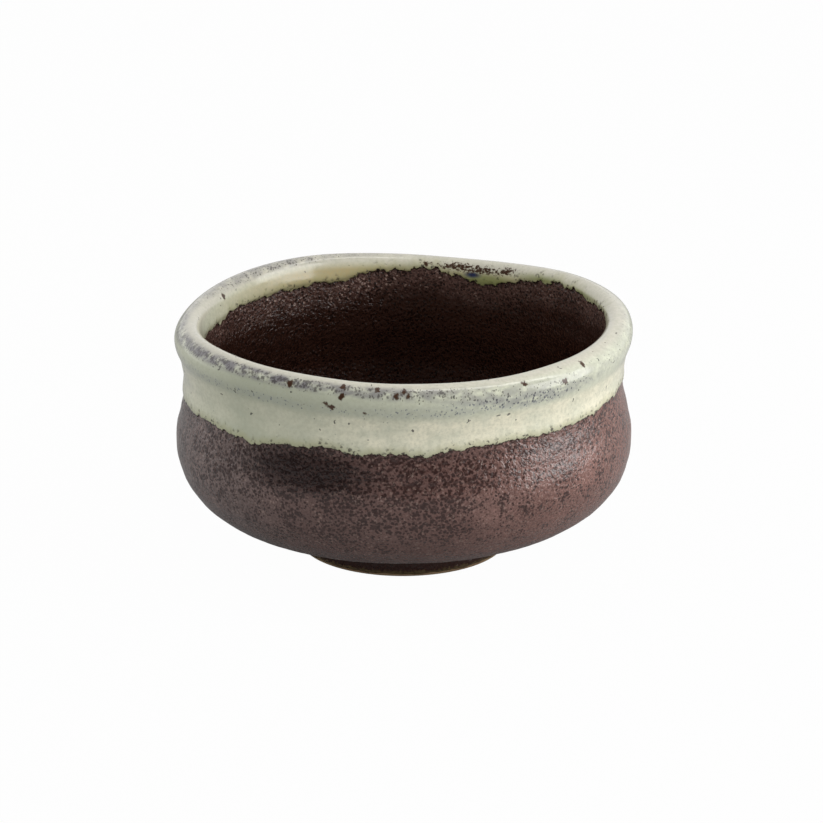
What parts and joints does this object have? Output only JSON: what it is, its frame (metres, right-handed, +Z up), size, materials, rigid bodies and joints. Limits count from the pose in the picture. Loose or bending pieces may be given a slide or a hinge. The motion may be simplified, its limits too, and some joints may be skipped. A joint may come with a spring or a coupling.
{
  "type": "tea bowl",
  "caption": "Hand-thrown stoneware tea bowl with a swollen belly, slight waist, rolled wavy lip and foot ring, brown glazed with a pale glazed rim.",
  "frame": {"origin": "centre of the flat face that the foot ring stands on", "axes": "+Z up through the mouth; +X to the right and -Y to the front of the pictured side"},
  "size_m": [0.1201, 0.1176, 0.0652],
  "materials": {
    "clay": "bare fired stoneware",
    "outside_brown_glaze": "satin, speckled",
    "inside_brown_glaze": "satin, speckled",
    "pale_glaze": "gloss"
  },
  "bodies": {
    "root": {"bowl_body": "clay", "foot_ring": "clay", "outside_brown_glaze": "outside_brown_glaze", "inside_brown_glaze": "inside_brown_glaze", "rim_pale_glaze": "pale_glaze", "recess_brown_glaze": "outside_brown_glaze"}
  },
  "joints": []
}
